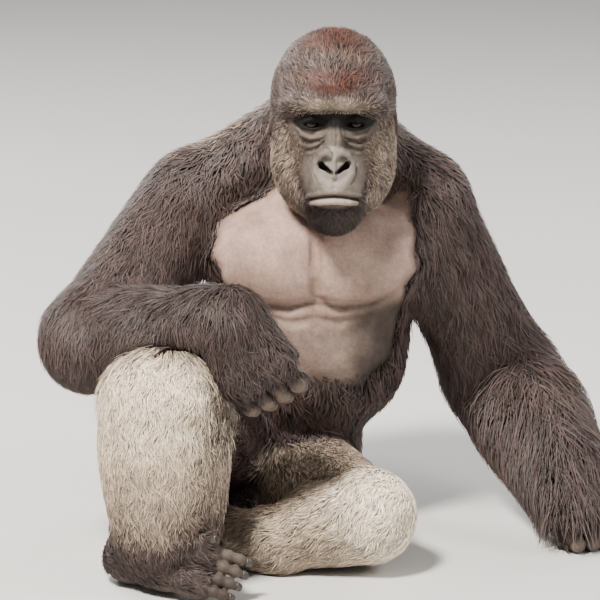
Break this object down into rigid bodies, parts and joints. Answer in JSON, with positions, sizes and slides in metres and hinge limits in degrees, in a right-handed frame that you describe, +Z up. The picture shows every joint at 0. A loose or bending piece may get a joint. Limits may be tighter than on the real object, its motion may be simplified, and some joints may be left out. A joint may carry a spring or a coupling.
{
  "type": "gorilla",
  "caption": "Life-size adult male gorilla, sitting with one knee raised, a forearm resting over that knee and the other arm propped on its knuckles.",
  "frame": {"origin": "on the ground under the pelvis, on the flat of the seat", "axes": "+Z up, the animal faces -Y, its left side is +X"},
  "size_m": [1.082, 0.7724, 0.9571],
  "materials": {
    "dark_coat": "soft black-brown hair with grey tips, chestnut on the crown",
    "silver_coat": "short silver-grey hair",
    "bare_skin": "bare wrinkled dark skin, satin",
    "eye": "moist dark brown eye"
  },
  "bodies": {
    "root": {"abdomen": "dark_coat", "big_toe_left": "bare_skin", "big_toe_right": "bare_skin", "chest": "bare_skin", "ear_left": "bare_skin", "ear_right": "bare_skin", "eye_left": "eye", "eye_right": "eye", "fifth_toe_left": "bare_skin", "fifth_toe_right": "bare_skin", "foot_left": "bare_skin", "foot_right": "bare_skin", "forearm_left": "dark_coat", "forearm_right": "dark_coat", "fourth_toe_left": "bare_skin", "fourth_toe_right": "bare_skin", "head": "dark_coat", "index_finger_left": "bare_skin", "index_finger_right": "bare_skin", "little_finger_left": "bare_skin", "little_finger_right": "bare_skin", "middle_finger_left": "bare_skin", "middle_finger_right": "bare_skin", "neck": "dark_coat", "palm_left": "bare_skin", "palm_right": "bare_skin", "pelvis": "dark_coat", "ring_finger_left": "bare_skin", "ring_finger_right": "bare_skin", "second_toe_left": "bare_skin", "second_toe_right": "bare_skin", "shin_left": "silver_coat", "shin_right": "silver_coat", "thigh_left": "silver_coat", "thigh_right": "silver_coat", "third_toe_left": "bare_skin", "third_toe_right": "bare_skin", "thumb_left": "bare_skin", "thumb_right": "bare_skin", "upper_arm_left": "dark_coat", "upper_arm_right": "dark_coat"}
  },
  "joints": []
}
